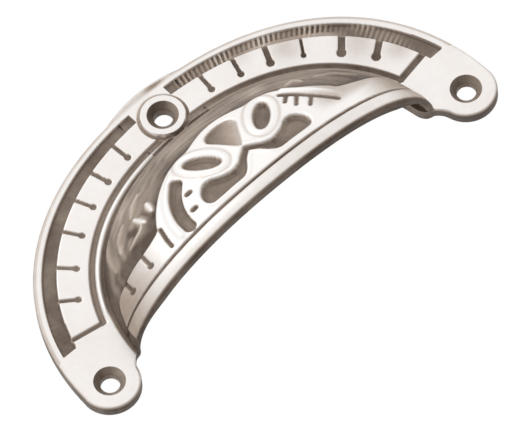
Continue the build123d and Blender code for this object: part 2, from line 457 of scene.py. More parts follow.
@dataclass
class PlateRelief:
    """Heights and patina of the plate's front, over its flat face.

    A pair of numbers that goes to ease holds the place where a mask is 0, then where it is 1.
    """

    thickness: float = 2.5
    edge_radius: float = 0.5
    outline: Arch = Arch(50.3, 41.2)
    crest_top: float = 42.2
    crest_half_width: float = 9.0
    line_edge: Point = (0.15, -0.20)

    channel: Arch = Arch(48.5, 39.7)
    channel_inner: Arch = Arch(45.7, 37.7)
    channel_foot: float = 9.6
    channel_gap: float = 4.4
    channel_depth: float = 0.75
    channel_edge: Point = (0.14, -0.14)
    channel_samples: int = 400

    tooth_pitch: float = 1.0
    tooth_height: float = 0.45
    tooth_edge: Point = (0.40, 0.80)
    tooth_least: float = 0.03
    tooth_start: Point = (5.0, 9.0)
    tooth_end: Point = (45.0, 40.0)
    tooth_gap_x: float = 37.6
    tooth_gap_half_width: float = 3.2
    tooth_gap_wear: float = 0.9
    wear_share: float = 0.55
    wear_rate: float = 0.35
    wear_phase: float = 1.0
    # Painted highlight line along the channel's outer wall.
    wall_gleam: float = 0.8
    wall_gleam_edge: Point = (-1.1, -1.7)
    wall_gleam_start: Point = (14.0, 22.0)
    wall_gleam_end: Point = (37.0, 34.0)

    groove: Arch = Arch(38.95, 31.65)
    groove_half_width: float = 0.5
    groove_depth: float = 0.5
    foot_fade: float = 0.3
    end_line: Points = ((37.1, 9.95), (45.4, 11.5))
    end_line_left: float = 0.40
    end_line_right: float = 0.62

    pin_angles: tuple[float, ...] = (29.5, 40.0, 51.0, 60.5, 69.0, 77.5)
    pin_root_turn: float = 0.015
    pin_heads: Arch = Arch(42.2, 33.85)
    left_stems: tuple[float, ...] = (0.32, 0.32, 0.32, 0.32, 0.36, 0.36)
    right_stems: tuple[float, ...] = (0.60, 0.62, 0.24, 0.50, 0.36, 0.36)
    pin_swell: float = 0.26
    pin_depth: float = 0.55
    pin_edge: Point = (0.12, -0.12)

    bead: Arch = Arch(37.8, 30.5)
    bead_half_width: float = 0.55
    bead_height: float = 0.5
    bead_fade: Point = (9.2, 12.5)

    boss_level: float = 34.9
    boss_radius: float = 4.4
    boss_height: float = 0.8
    boss_edge: Point = (0.10, -0.20)
    boss_clear: Point = (0.3, 0.6)
    ring_half_width: float = 0.45
    ring_offset: float = 0.25
    ring_depth: float = 0.4

    base_shade: float = 0.05
    channel_shade: float = 0.80
    tooth_gleam: float = 0.42
    pin_shade: float = 0.74
    groove_shade: float = 0.70
    right_shade: float = 0.20
    right_start: Point = (0.0, 20.0)
    ring_shade: float = 0.62
    # Painted shade: the ring groove is darker on its lower right side.
    ring_painted_shade: float = 0.26
    facing_lean: float = 0.3
    facing_least: float = 0.1
    bead_shade: float = 0.62
    bead_shade_edge: Point = (0.1, 0.4)
    bead_shade_start: Point = (-12.0, 2.0)
    bead_shade_level: Point = (7.0, 11.0)
    inner_shade: float = 0.85
    inner_edge: Point = (-0.2, -0.7)
    # Painted shade along the front's outer edge, strongest on the crest's edge.
    rim_shade: float = 0.20
    rim_edge: Point = (-0.9, 0.0)
    rim_level: Point = (5.0, 12.0)
    crest_shade: float = 0.42
    crest_shade_x: float = 3.2
    crest_shade_half_width: float = 3.4
    sheens: tuple[tuple[float, float, float, float], ...] = (
        (36.7, 21.4, 3.4, 0.21), (41.2, 15.2, 2.4, 0.22), (26.4, 30.2, 3.0, 0.20),
        (19.0, 34.5, 2.0, 0.10))

    def crest_rise(self, x: np.ndarray) -> np.ndarray:
        """Height of the crest's arc above the outer arch, for |x| inside the crest.

        The arc is the circle through the crest's two feet and its top.

        Args:
            x: Distances along the pull.

        Returns:
            Rises, 0 outside the crest.
        """
        sagitta = self.crest_top - self.outline.level_at(self.crest_half_width)
        radius = (self.crest_half_width**2 + sagitta**2) / (2 * sagitta)
        reach = np.minimum(np.abs(x), self.crest_half_width)
        arc = self.crest_top - radius + np.sqrt(radius**2 - reach**2)
        return np.maximum(arc - self.outline.level_at(reach), 0.0)

    def pin_mask(self, x: np.ndarray, z: np.ndarray) -> np.ndarray:
        """Mask of the round-headed pins: a stem from the channel and a disc at its end.

        Args:
            x: Front-view X of the queries.
            z: Front-view Z of the queries.

        Returns:
            Mask from 0 to 1.
        """
        root_arch = self.channel.toward(self.channel_inner, 0.5)
        nearest = np.full(x.shape, FAR)
        for side, stems in ((Side.LEFT, self.left_stems), (Side.RIGHT, self.right_stems)):
            for angle, half_width in zip(np.radians(self.pin_angles), stems):
                root = root_arch.points(angle + self.pin_root_turn)
                head = self.pin_heads.points(angle)
                stem = Stroke(side, half_width, (root, head))
                disc = Stroke(side, half_width + self.pin_swell, (head, head))
                nearest = np.minimum.reduce([nearest, stem.offset(x, z), disc.offset(x, z)])
        return ease(*self.pin_edge, nearest)

    def channel_mask(self, x: np.ndarray, z: np.ndarray) -> np.ndarray:
        """Mask of the sunk channel, above its foot and clear of the boss."""
        return ease(*self.channel_edge, np.maximum.reduce([
            self.channel.offset(x, z), -self.channel_inner.offset(x, z), self.channel_foot - z,
            self.channel_gap - np.abs(x)]))

    def teeth_and_gleam(self, x: np.ndarray, z: np.ndarray) -> np.ndarray:
        """Milled row along the right of the channel: bars across it, one to each pitch.

        The bars |sin(pi run / pitch)| are worn away on the left and thinned in places. A painted
        highlight line along the channel's outer wall joins the mask and also lifts the height.

        Args:
            x: Front-view X of the queries.
            z: Front-view Z of the queries.

        Returns:
            Mask of the bars and the painted highlight line, from 0 to 1.
        """
        arch = self.channel
        arch_x, arch_z = arch.points(np.linspace(0.0, math.pi / 2, self.channel_samples))
        steps = np.hypot(np.diff(arch_x), np.diff(arch_z))
        lengths = np.concatenate([[0.0], np.cumsum(steps)])
        angles = np.arctan2(arch_z - arch.level, arch_x)
        run = np.interp(np.arctan2(z - arch.level, np.abs(x)), angles, lengths)
        row = ease(*self.tooth_edge, np.abs(np.sin(math.pi * run / self.tooth_pitch)))
        gap = 1 - self.tooth_gap_wear * bump(self.tooth_gap_half_width, x - self.tooth_gap_x)
        ends = ease(*self.tooth_start, x) * gap * ease(*self.tooth_end, x)
        side = self.tooth_least + (1 - self.tooth_least) * ends
        wave = np.sin(run * self.wear_rate + self.wear_phase) ** 2
        worn = 1 - self.wear_share + self.wear_share * wave
        # Painted highlight line along the channel's outer wall; it also lifts the height.
        wall = ease(*self.wall_gleam_edge, arch.offset(x, z))
        wall = wall * ease(*self.wall_gleam_start, x) * ease(*self.wall_gleam_end, x)
        return np.maximum(row * side * worn, self.wall_gleam * wall)

    def masks(self, x: np.ndarray, z: np.ndarray) -> PlateMasks:
        """Masks of all features.

        Args:
            x: Front-view X of the queries.
            z: Front-view Z of the queries.

        Returns:
            The masks, clear of one another where one feature stops at another.
        """
        from_boss = np.hypot(x, z - self.boss_level) - self.boss_radius
        channel = self.channel_mask(x, z)
        end_half_width = np.where(x > 0, self.end_line_right, self.end_line_left)
        end_line = path_distance(np.abs(x), z, self.end_line) - end_half_width
        groove = np.abs(self.groove.offset(x, z)) - self.groove_half_width
        above_foot = ease(-self.foot_fade, self.foot_fade, z - self.channel_foot)
        groove = ease(*self.line_edge, groove) * above_foot * ease(*self.boss_clear, from_boss)
        groove = np.maximum(groove, ease(*self.line_edge, end_line))
        bead = bump(self.bead_half_width, self.bead.offset(x, z)) * ease(*self.bead_fade, z)
        return PlateMasks(
            channel=channel, teeth_and_gleam=self.teeth_and_gleam(x, z), pins=self.pin_mask(x, z) * (1 - channel),
            groove=groove * (1 - channel), bead=bead,
            ring=bump(self.ring_half_width, from_boss - self.ring_offset),
            boss=ease(*self.boss_edge, from_boss))

    def heights(self, masks: PlateMasks) -> np.ndarray:
        """Height over the face: the sum of the cuts and the bead, or the boss's where it stands.

        Args:
            masks: Masks at the queries.

        Returns:
            Heights in millimetres.
        """
        teeth_and_gleam = self.tooth_height * masks.teeth_and_gleam * masks.channel
        height = -masks.channel * (self.channel_depth - teeth_and_gleam) - self.pin_depth * masks.pins
        height += self.bead_height * masks.bead - self.groove_depth * masks.groove
        height -= self.ring_depth * masks.ring * (1 - masks.boss)
        return height * (1 - masks.boss) + self.boss_height * masks.boss

    def shades(self, x: np.ndarray, z: np.ndarray, masks: PlateMasks) -> np.ndarray:
        """Patina: the darkest features over a thin veil with sheens and painted shade on the rim.

        Args:
            x: Front-view X of the queries.
            z: Front-view Z of the queries.
            masks: Masks at the queries.

        Returns:
            Patina values.
        """
        off_boss = 1 - masks.boss
        right = self.right_shade * ease(*self.right_start, x)
        channel = masks.channel * (self.channel_shade - self.tooth_gleam * masks.teeth_and_gleam)
        lines = np.maximum(masks.pins * (self.pin_shade + right),
                           masks.groove * (self.groove_shade + right))
        # Painted shade: the ring groove's patina grows on its lower right side.
        rise = z - self.boss_level
        facing = (self.facing_lean * x - rise) / np.maximum(np.hypot(x, rise), self.facing_least)
        ring = (self.ring_shade + self.ring_painted_shade * facing) * masks.ring
        bead = self.bead_shade * ease(*self.bead_shade_edge, masks.bead)
        bead = bead * ease(*self.bead_shade_start, x) * ease(*self.bead_shade_level, z) * off_boss
        inner = self.inner_shade * ease(*self.inner_edge, self.bead.offset(x, z))
        features = np.maximum.reduce([channel, lines, ring * off_boss]) * off_boss
        # Painted shade along the outer edge, strongest near the crest.
        rim = self.rim_shade + self.crest_shade * bump(self.crest_shade_half_width, x - self.crest_shade_x)
        rim = rim * ease(*self.rim_edge, self.outline.offset(x, z)) * ease(*self.rim_level, z)
        sheen = sum(shade * np.exp(-((x - sheen_x) ** 2 + (z - sheen_z) ** 2) / radius**2)
                    for sheen_x, sheen_z, radius, shade in self.sheens)
        veil_and_edge_shade = self.base_shade + (sheen + rim) * off_boss
        return veil_and_edge_shade + (1 - veil_and_edge_shade) * np.maximum.reduce([features, bead, inner])

    def surface(self, x: np.ndarray, z: np.ndarray) -> tuple[np.ndarray, np.ndarray]:
        """Height over the flat face and patina at each point of the front.

        Args:
            x: Front-view X of the queries.
            z: Front-view Z of the queries.

        Returns:
            Heights in millimetres and patina values.
        """
        masks = self.masks(x, z)
        return self.heights(masks), self.shades(x, z, masks)


# Pieces of the plate


@dataclass
class PlateBand:
    """Arched length of the plate between an ear and the boss."""

    relief: PlateRelief
    side: Side
    run_steps: int = 330
    front_steps: tuple[int, ...] = (12, 3, 10, 26, 16, 4)
    bead_margin: float = 0.6
    groove_margin: float = 0.55
    channel_margin: float = 0.2
    side_top: float = 0.08
    side_mid: float = 0.6
    side_foot: float = 0.15
    back_shares: tuple[float, ...] = (0.01, 0.5, 0.97, 0.995)
    crest_fade: float = 1.8
    # Painted shade: the rounded outer edge darkens with its depth, and the side and inner walls are
    # dark.
    edge_painted_shade: float = 0.30
    edge_darkening: float = 0.4
    side_painted_shade: float = 0.95
    back_patina: float = 0.45

    def lines(self) -> list[tuple[Arch, float, Part]]:
        """Arches that the grid follows over the section, from the inner edge round to the back.

        Returns:
            Each arch with its depth below the face and its part.
        """
        relief, inner = self.relief, PLATE_INNER_ARCH
        thickness, radius, outline = relief.thickness, relief.edge_radius, relief.outline
        stations = [relief.bead.inward(self.bead_margin), relief.bead.inward(-self.bead_margin),
                    relief.groove.inward(-self.groove_margin),
                    relief.channel_inner.inward(self.channel_margin),
                    relief.channel.inward(-self.channel_margin), outline.inward(radius)]
        lines = [(inner, thickness, Part.INNER)]
        for start, end, steps in zip([inner, *stations], stations, self.front_steps):
            lines += [(start.toward(end, step / steps), 0.0, Part.FRONT) for step in range(steps)]
        lines += [(outline.inward(radius * (1 - math.sin(turn))), radius * (1 - math.cos(turn)),
                   Part.EDGE) for turn in QUARTER_TURN]
        lines += [(outline, depth, Part.SIDE) for depth in
                  (radius + self.side_top, thickness * self.side_mid, thickness - self.side_foot)]
        lines += [(outline.toward(inner, share), thickness, Part.BACK)
                  for share in self.back_shares]
        return lines

    def patch(self) -> Patch:
        """Closed surface of the band.

        Each grid line follows one arch from the ear's joint to the boss's. The front is lifted by
        the relief, the outer edge is a quarter round, and the section closes over the back.

        Returns:
            The surface, with its section wrapped round and its ends capped.
        """
        relief = self.relief
        points, patina = [], []
        for arch, depth, part in self.lines():
            ends = arch.angle_at_level(JOINT_LEVEL), arch.angle_at_x(JOINT_X)
            x, z = arch.points(np.linspace(*ends, self.run_steps))
            inset = relief.outline.half_length - arch.half_length
            z = z + relief.crest_rise(x) * ease(self.crest_fade, 0.0, inset)
            x = x * self.side.value
            height, dark = relief.surface(x, z)
            y = depth - relief.thickness - (height if part is Part.FRONT else 0.0)
            points.append(np.stack([x, np.broadcast_to(y, x.shape), z], axis=-1))
            # Painted shade on the rounded edge, growing with its depth, and on the side and inner
            # walls.
            shades = {Part.FRONT: dark, Part.EDGE: self.edge_painted_shade + self.edge_darkening * depth,
                      Part.SIDE: self.side_painted_shade, Part.INNER: self.side_painted_shade}
            patina.append(np.broadcast_to(shades.get(part, self.back_patina), x.shape))
        return Patch(np.array(points), np.array(patina)).capped()


@dataclass
class HolePatch:
    """Length of the plate round one countersunk hole, as rings from the hole to an outline."""

    relief: PlateRelief
    centre: Point
    face_height: float = 0.0
    hole_radius: float = 1.85
    hole_mid: float = 0.6
    sink_radius: float = 3.0
    sink_depth: float = 1.15
    sink_steps: int = 7
    sink_foot_gap: float = 0.05
    sink_rim_gap: float = 0.04
    sink_margin: float = 0.07
    turns: int = 300
    rim_stride: int = 3
    rings: int = 52
    side_drop: float = 1.05
    free_side_lift: float = 0.5
    back_bevel: float = 0.12
    back_margin: float = 0.15
    sink_patina: float = 0.70
    # Painted shade: the countersink is darker on one side of its turn.
    sink_painted_shade: float = 0.2
    sink_painted_shade_angle: float = 1.9
    # Painted shade on the free edge's round and on the side wall.
    edge_painted_shade: float = 0.12
    side_painted_shade: float = 0.95
    hole_patina: float = 0.8
    back_patina: float = 0.45

    def outline(self) -> tuple[np.ndarray, np.ndarray]:
        """Outline round the hole and, for each point, 1 on a free edge and 0 on a joint."""
        raise NotImplementedError

    def rim(self) -> tuple[np.ndarray, np.ndarray, np.ndarray]:
        """Outline as seen from the hole's centre, in order of angle.

        Returns:
            Angles, radii and free-edge flags.
        """
        outline, free = self.outline()
        offset = outline - np.array(self.centre)
        angle = np.arctan2(offset[:, 1], offset[:, 0]) % (2 * math.pi)
        order = np.argsort(angle)
        return angle[order], np.hypot(offset[:, 0], offset[:, 1])[order], free[order]

    def stations(self, radius: np.ndarray, free: np.ndarray) -> list[tuple]:
        """Rings of the section in order, each as its radius, its level over the back and its part.

        Args:
            radius: Radius of the outline at each turn.
            free: Free-edge flag at each turn.

        Returns:
            The rings.
        """
        hole, sink = self.hole_radius, self.sink_radius - self.hole_radius
        thickness = self.relief.thickness
        top = thickness + self.face_height
        rounding = self.relief.edge_radius * free
        start = self.sink_radius + self.sink_margin
        foot = top - self.sink_depth - self.sink_foot_gap
        rings = [(hole, level, Part.HOLE) for level in (0.0, self.hole_mid, foot)]
        rings += [(hole + sink * share, top - self.sink_rim_gap - self.sink_depth * (1 - share),
                   Part.SINK) for share in np.linspace(0.0, 1.0, self.sink_steps)]
        rings += [(start + (radius - rounding - start) * share, 0.0, Part.FRONT)
                  for share in np.linspace(0.0, 1.0, self.rings)]
        rings += [(radius - rounding * (1 - math.sin(angle)),
                   thickness - rounding * (1 - math.cos(angle)), Part.EDGE)
                  for angle in QUARTER_TURN]
        rings += [(radius, thickness - self.side_drop + self.free_side_lift * free, Part.SIDE),
                  (radius, self.back_bevel, Part.SIDE),
                  (radius - self.back_bevel * free, 0.0, Part.BACK),
                  ((hole + radius) / 2, 0.0, Part.BACK), (hole + self.back_margin, 0.0, Part.BACK)]
        return rings

    def patch(self) -> Patch:
        """Closed surface of the patch.

        Rings run from the hole's back edge up its wall, up the countersink, over the lifted face
        to the outline, round the free edge and over the back to the hole again. Along a joint the
        edge follows the relief.

        Returns:
            The surface, with its section and its turn wrapped round.
        """
        whole = 2 * math.pi
        rim_angle, rim_radius, rim_free = self.rim()
        even = np.linspace(0, whole, self.turns, endpoint=False)
        turn = np.sort(np.concatenate([even, rim_angle[::self.rim_stride]]))
        radius = np.interp(turn, rim_angle, rim_radius, period=whole)
        free = np.interp(turn, rim_angle, rim_free, period=whole)
        stations = self.stations(radius, free)
        ring, level = (np.array([np.broadcast_to(item[index], turn.shape) for item in stations])
                       for index in (0, 1))
        on = {part: np.array([item[2] is part for item in stations])[:, None] for part in Part}
        x = self.centre[0] + ring * np.cos(turn)
        z = self.centre[1] + ring * np.sin(turn)
        height, dark = self.relief.surface(x, z)
        thickness = self.relief.thickness
        y = -np.select([on[Part.FRONT], on[Part.EDGE]],
                       [thickness + height, level + height * (1 - free)], level)
        # Painted shade: the free edge darkens round its quarter round toward the dark side wall.
        depth = (thickness - level) / self.relief.edge_radius
        rounded = self.edge_painted_shade + (self.side_painted_shade - self.edge_painted_shade) * depth
        # Countersink patina plus a painted shade that is darkest on one side.
        sink = self.sink_patina + self.sink_painted_shade * np.cos(turn - self.sink_painted_shade_angle)
        shades = {Part.FRONT: dark, Part.SINK: sink, Part.EDGE: rounded * free + dark * (1 - free),
                  Part.SIDE: self.side_painted_shade, Part.HOLE: self.hole_patina}
        patina = np.select([on[part] for part in shades],
                           [shade + np.zeros(x.shape) for shade in shades.values()],
                           self.back_patina)
        return Patch(np.stack([x, y, z], axis=-1), patina, wrap_columns=True)


@dataclass
class Ear(HolePatch):
    """Ear at one end of the plate, with its screw hole."""

    side: Side = Side.RIGHT
    inner_foot: float = 4.0
    corner_x: float = 37.0
    neck_angle: float = 195.0
    neck_freedom: float = 0.2
    arch_end_level: float = 0.05
    arch_points: int = 40
    circle_points: int = 120
    neck_points: int = 24
    corner_points: int = 14

    def outline(self) -> tuple[np.ndarray, np.ndarray]:
        """Outer arch, ear circle, concave neck, eased corner, inner arch and the joint above.

        The corner is the quadratic curve (1 - t)^2 p + 2 t (1 - t) q + t^2 r from the neck's end p
        to the inner arch's foot r, with q on the inner arch at the lip's level.

        Returns:
            Points of shape (n, 2) and their free-edge flags.
        """
        outer, inner_arch = self.relief.outline, PLATE_INNER_ARCH
        arch = self.run(outer, JOINT_LEVEL, self.arch_end_level, self.arch_points)
        ear_x = abs(self.centre[0])
        radius = outer.half_length - ear_x
        turn = np.radians(np.linspace(0, self.neck_angle - 360, self.circle_points))
        circle = np.stack([ear_x + radius * np.cos(turn), radius * np.sin(turn)], axis=-1)
        neck = self.neck_arc(circle[-1], math.radians(self.neck_angle))
        inner = self.run(inner_arch, self.inner_foot, JOINT_LEVEL, self.neck_points)
        control = self.run(inner_arch, LIP_LEVEL, LIP_LEVEL, 1)
        control[:, 1] = LIP_LEVEL
        t = np.linspace(0.0, 1.0, self.corner_points)[1:-1, None]
        corner = (1 - t) ** 2 * neck[-1] + 2 * t * (1 - t) * control + t**2 * inner[0]
        joint = np.linspace(inner[-1], arch[0], self.arch_points)[1:-1]
        points = np.vstack([arch, circle, neck, corner, inner, joint])
        points[:, 0] *= self.side.value
        flags = [np.ones(len(arch) + len(circle)), np.linspace(1, self.neck_freedom, len(neck)),
                 np.zeros(len(corner) + len(inner) + len(joint))]
        return points, np.concatenate(flags)

    def run(self, arch: Arch, start: float, end: float, count: int) -> np.ndarray:
        """Points on the right of an arch from one level to another."""
        angles = np.linspace(arch.angle_at_level(start), arch.angle_at_level(end), count)
        return np.stack(arch.points(angles), axis=-1)

    def neck_arc(self, start: np.ndarray, angle: float) -> np.ndarray:
        """Arc that leaves the ear circle along it and ends at the lip's corner.

        The arc's centre lies on the start's normal, at the same distance from both ends.

        Args:
            start: Point on the ear circle.
            angle: Angle of that point on the circle, in radians.

        Returns:
            Points of the arc, without its start.
        """
        end = np.array([self.corner_x, LIP_LEVEL])
        normal = np.array([math.cos(angle), math.sin(angle)])
        chord = end - start
        radius = chord @ chord / (2 * chord @ normal)
        centre = start + normal * radius
        first, last = (math.atan2(*(point - centre)[::-1]) for point in (start, end))
        swing = (last - first + math.pi) % (2 * math.pi) - math.pi
        turn = first + swing * np.linspace(0, 1, self.neck_points)[1:]
        return centre + radius * np.stack([np.cos(turn), np.sin(turn)], axis=-1)


@dataclass
class Boss(HolePatch):
    """Middle of the plate, with the raised boss and its screw hole."""

    edge_points: int = 61
    joint_points: int = 60

    def outline(self) -> tuple[np.ndarray, np.ndarray]:
        """Outline of the middle: the crest, two upright joints and the inner arch.

        Returns:
            Points of shape (n, 2) and their free-edge flags.
        """
        x = np.linspace(-JOINT_X, JOINT_X, self.edge_points)
        outer = self.relief.outline.level_at(x) + self.relief.crest_rise(x)
        crest = np.stack([x, outer], axis=-1)
        inner = np.stack([x, PLATE_INNER_ARCH.level_at(x)], axis=-1)
        right = np.linspace(crest[-1], inner[-1], self.joint_points)[1:-1]
        left = np.linspace(inner[0], crest[0], self.joint_points)[1:-1]
        joints = np.vstack([right, inner[::-1], left])
        return np.vstack([crest, joints]), np.repeat([1.0, 0.0], [len(crest), len(joints)])


# Relief of the cup


@dataclass
class CupRelief:
    """Heights and patina of the cup's skin, drawn in the front view and pushed along its normal.

    Distances u run from the ornament's middle, negative on the left. A pair of numbers that goes
    to ease holds the place where a mask is 0, then where it is 1.
    """

    shift: float = 0.6
    left_growth: float = 1.0
    left_growth_x: float = 17.0
    left_growth_half_width: float = 7.0
    wall_drop: float = 0.6
    wall_edge: Point = (-0.1, 0.55)
    field_foot: Point = (37.5, -5.0)
    field_edge: Points = (
        (36.5, 4.4), (34.6, 8.4), (32.0, 9.2), (29.5, 9.6), (26.5, 9.8), (24.0, 10.2),
        (22.2, 10.8), (21.2, 12.0), (18.9, 14.2), (15.0, 17.2), (12.2, 19.1), (9.4, 19.9),
        (7.0, 20.0), (4.6, 20.8), (2.2, 21.5), (0.0, 21.7))
    # Dark band of the sunk wall: patina together with painted shade.
    wall_patina_and_shade: float = 0.70
    wall_shade_reach: float = 1.7
    wall_shade_edge: Point = (-0.2, 0.3)
    flank_shade: float = 0.48
    flank_right: float = 0.12
    flank_start: Point = (22.0, 35.0)
    flank_foot: Point = (4.4, 5.0)
    right_shade: float = 0.34
    right_start: Point = (14.0, 20.0)
    right_foot: Point = (6.0, 9.0)

    rib_pitch: float = 1.7
    rib_waves: tuple[tuple[float, float, float], ...] = ((0.5, 0.31, 0.0), (0.22, 0.83, 1.0))
    rib_turn: Point = (0.37, 0.9)
    rib_start: Point = (-9.0, -6.5)
    rib_end: Point = (-0.3, -0.9)
    rib_height: float = 0.035
    rib_gleam: float = 0.12
    foot_shade: float = 0.30
    foot_offset: float = 0.5
    foot_half_width: float = 1.1
    # The three blots with negative shade are painted highlights near the top of the wall.
    wall_blots: tuple[Blot, ...] = (
        Blot(-27.5, 11.8, 8.0, 2.6, 0.5), Blot(-21.0, 13.6, 3.0, 2.6, 0.30),
        Blot(27.0, 13.0, 8.0, 7.0, 0.16), Blot(-25.0, 24.0, 9.0, 5.0, -0.34),
        Blot(12.0, 23.0, 4.0, 3.5, -0.238), Blot(-3.0, 24.5, 9.0, 4.0, -0.17))
    leaf_eye: Point = (-24.8, 15.8)
    eye_depth: float = 0.25
    eye_radius: float = 1.5
    eye_shade: float = 0.5
    eye_shade_radius: float = 1.7
    lobe_height: float = 0.34
    lobe_foot: float = 1.25
    lobe_gleam_foot: float = 1.05
    lobes: tuple[Lobe, ...] = (
        Lobe(Side.LEFT, 1.15, 0.95, ((19.8, 15.6), (19.5, 16.8), (19.2, 18.0))),
        Lobe(Side.LEFT, 1.05, 0.90, ((22.1, 14.9), (22.5, 16.2), (22.7, 17.6))),
        Lobe(Side.LEFT, 0.60, 0.60, ((27.4, 13.4), (25.4, 14.0), (23.6, 14.6), (22.4, 15.6))),
        Lobe(Side.LEFT, 0.75, 0.42, ((28.6, 14.9), (27.6, 16.6), (26.4, 18.0), (24.2, 19.4))),
        Lobe(Side.LEFT, 0.80, 0.36, ((31.4, 13.2), (30.4, 16.0), (29.0, 18.6), (26.8, 20.8))),
        Lobe(Side.LEFT, 0.70, 0.40, ((22.8, 18.6), (20.8, 20.4), (18.2, 21.8))),
        Lobe(Side.RIGHT, 0.95, 0.50, ((16.0, 18.4), (18.2, 18.8), (19.2, 17.2))),
        Lobe(Side.RIGHT, 0.85, 0.40, ((21.8, 17.0), (25.4, 15.4), (28.4, 12.4))),
        Lobe(Side.RIGHT, 0.90, 0.40, ((23.4, 20.4), (28.4, 17.2), (32.0, 12.2))))

    petal_centre: Point = (7.4, 15.1)
    petal_axes: Point = (3.75, 1.6)
    petal_tilt: float = 51.0
    petal_points: int = 48
    petal_ridge_width: float = 0.9
    petal_ridge_height: float = 0.34
    petal_ring_offset: float = 1.9
    petal_ring_half_width: float = 0.5
    petal_ring_shade: float = 0.22
    fan: Points = ((0.0, 12.0), (1.0, 13.4), (2.4, 15.9), (3.5, 18.0), (2.9, 19.5), (1.4, 20.1),
                   (0.0, 20.2))
    fan_depth: float = 0.75
    fan_slope: float = 0.45
    fan_edge: Point = (0.22, -0.35)
    fan_light: Point = (-3.5, 3.5)
    fan_light_lean: float = 0.55
    fan_light_level: float = 17.0
    fan_shade: float = 0.86
    fan_gleam: float = 0.50
    pod: Points = ((0.0, 11.6), (1.9, 10.3), (3.3, 9.3), (5.2, 8.9), (7.4, 9.6), (9.2, 10.7),
                   (11.0, 10.7), (12.4, 9.4), (12.8, 7.8), (12.2, 6.6), (10.8, 6.3), (7.0, 6.3),
                   (4.6, 6.3), (3.1, 7.2), (1.6, 9.0), (0.0, 10.3))
    pod_ridge_width: float = 0.6
    pod_ridge_height: float = 0.18
    vein: Stroke = Stroke(Side.LEFT, 1.15, (
        (18.1, 6.3), (17.9, 8.5), (17.1, 10.9), (15.7, 13.2), (13.6, 15.4)), curved=True)
    deep_drop: float = 1.0
    deep_edge: Point = (0.22, -0.30)
    deep_shade: float = 0.77
    deep_shade_edge: Point = (0.16, -0.10)
    dish: float = 0.18
    dish_edge: Point = (-0.3, -1.4)
    left_band: Stroke = Stroke(Side.LEFT, 0.0, (
        (20.4, 6.0), (20.0, 9.0), (18.6, 12.2), (16.2, 15.2), (12.8, 17.7)), curved=True)
    left_band_width: float = 1.15
    right_band: Stroke = Stroke(Side.RIGHT, 0.0, (
        (14.4, 17.2), (17.2, 14.2), (19.7, 11.4), (21.9, 8.4)), curved=True)
    right_band_width: float = 0.9
    right_band_fade: Point = (22.6, 17.5)
    band_height: float = 0.42
    band_gleam: float = 1.2

    line_drop: float = 0.4
    line_level: float = 4.4
    line_half_width: float = 0.28
    line_edge: Point = (0.16, -0.22)
    line_shade: float = 0.88
    line_shade_edge: Point = (0.14, -0.16)
    arc_line: Stroke = Stroke(Side.LEFT, 0.38, (
        (22.8, 6.1), (22.5, 8.0), (21.8, 10.6)), curved=True)
    leaf_stroke: Stroke = Stroke(Side.LEFT, 0.35, ((21.0, 17.4), (20.4, 14.4)))
    dots: tuple[Stroke, ...] = (
        Stroke(Side.LEFT, 0.5, ((13.2, 11.8), (13.9, 11.8))),
        Stroke(Side.LEFT, 0.5, ((14.8, 8.3), (15.5, 8.3))))
    ticks: tuple[Stroke, ...] = (
        Stroke(Side.LEFT, 0.36, ((27.3, 9.6), (27.6, 6.9))),
        Stroke(Side.LEFT, 0.62, ((27.6, 6.9), (27.6, 6.9))),
        Stroke(Side.LEFT, 0.36, ((32.1, 9.6), (32.4, 6.9))),
        Stroke(Side.LEFT, 0.62, ((32.4, 6.9), (32.4, 6.9))))
    comb: tuple[Stroke, ...] = (
        Stroke(Side.RIGHT, 0.5, (
            (13.2, 16.6), (15.2, 14.5), (17.0, 12.2), (19.0, 9.6), (20.2, 8.0)), curved=True),
        Stroke(Side.RIGHT, 0.38, ((14.0, 15.6), (12.5, 14.2))),
        Stroke(Side.RIGHT, 0.38, ((15.3, 14.1), (13.5, 12.1))),
        Stroke(Side.RIGHT, 0.38, ((17.0, 11.9), (15.3, 10.2))))

    lip_radius: float = 0.95
    lip_fade: Point = (36.9, 34.5)
    # Painted shade on the lip's turned-under edge.
    lip_painted_shade: float = 0.92
    lip_painted_shade_edge: Point = (0.15, 0.75)
    swell_height: float = 0.12
    swell_level: float = 2.6
    swell_half_width: float = 1.6
    band_shade: float = 0.10
    band_end_shade: float = 0.34
    band_end_start: Point = (27.0, 36.0)
    band_top: Point = (4.6, 3.8)
    # Painted shadow in the corner where the lip meets the ear.
    corner_painted_shadow: float = 0.85
    corner_start: Point = (35.6, 36.9)
    corner_top: Point = (9.0, 3.0)

    def surface(self, x: np.ndarray, z: np.ndarray) -> tuple[np.ndarray, np.ndarray]:
        """Height over the skin and patina at each point.

        Args:
            x: Front-view X of the skin's points.
            z: Front-view Z of the skin's points.

        Returns:
            Heights in millimetres, negative where sunk, and patina values.
        """
        u = x - self.shift
        s = np.abs(u)
        outline = np.vstack([self.field_foot, mirrored(self.field_edge), self.field_foot * MIRROR])
        growth = bump(self.left_growth_half_width, s - self.left_growth_x) * (u < 0)
        field_offset = outline_offset(s - self.left_growth * growth, z, outline)
        wall = ease(*self.wall_edge, field_offset)
        # Dark wall band, patina together with painted shade, fading away from the field's edge.
        depth = np.maximum(field_offset, 0.0) / self.wall_shade_reach
        wall_patina_and_shade = self.wall_patina_and_shade + (1 - self.wall_patina_and_shade) * np.exp(-(depth**2))
        flank = ease(*self.flank_start, s) * (self.flank_shade + self.flank_right * (u > 0))
        right = self.right_shade * ease(*self.right_start, u) * ease(*self.right_foot, z)
        patina = np.maximum.reduce([
            wall_patina_and_shade * ease(*self.wall_shade_edge, field_offset), flank * ease(*self.flank_foot, z), right])
        height, patina = self.dress_wall(x, z, wall, -self.wall_drop * wall, patina)
        height, patina = self.sink_shapes(u, z, wall, height, patina)
        height, patina = self.sink_lines(u, z, height, patina)
        return self.round_lip(x, z, height, patina)

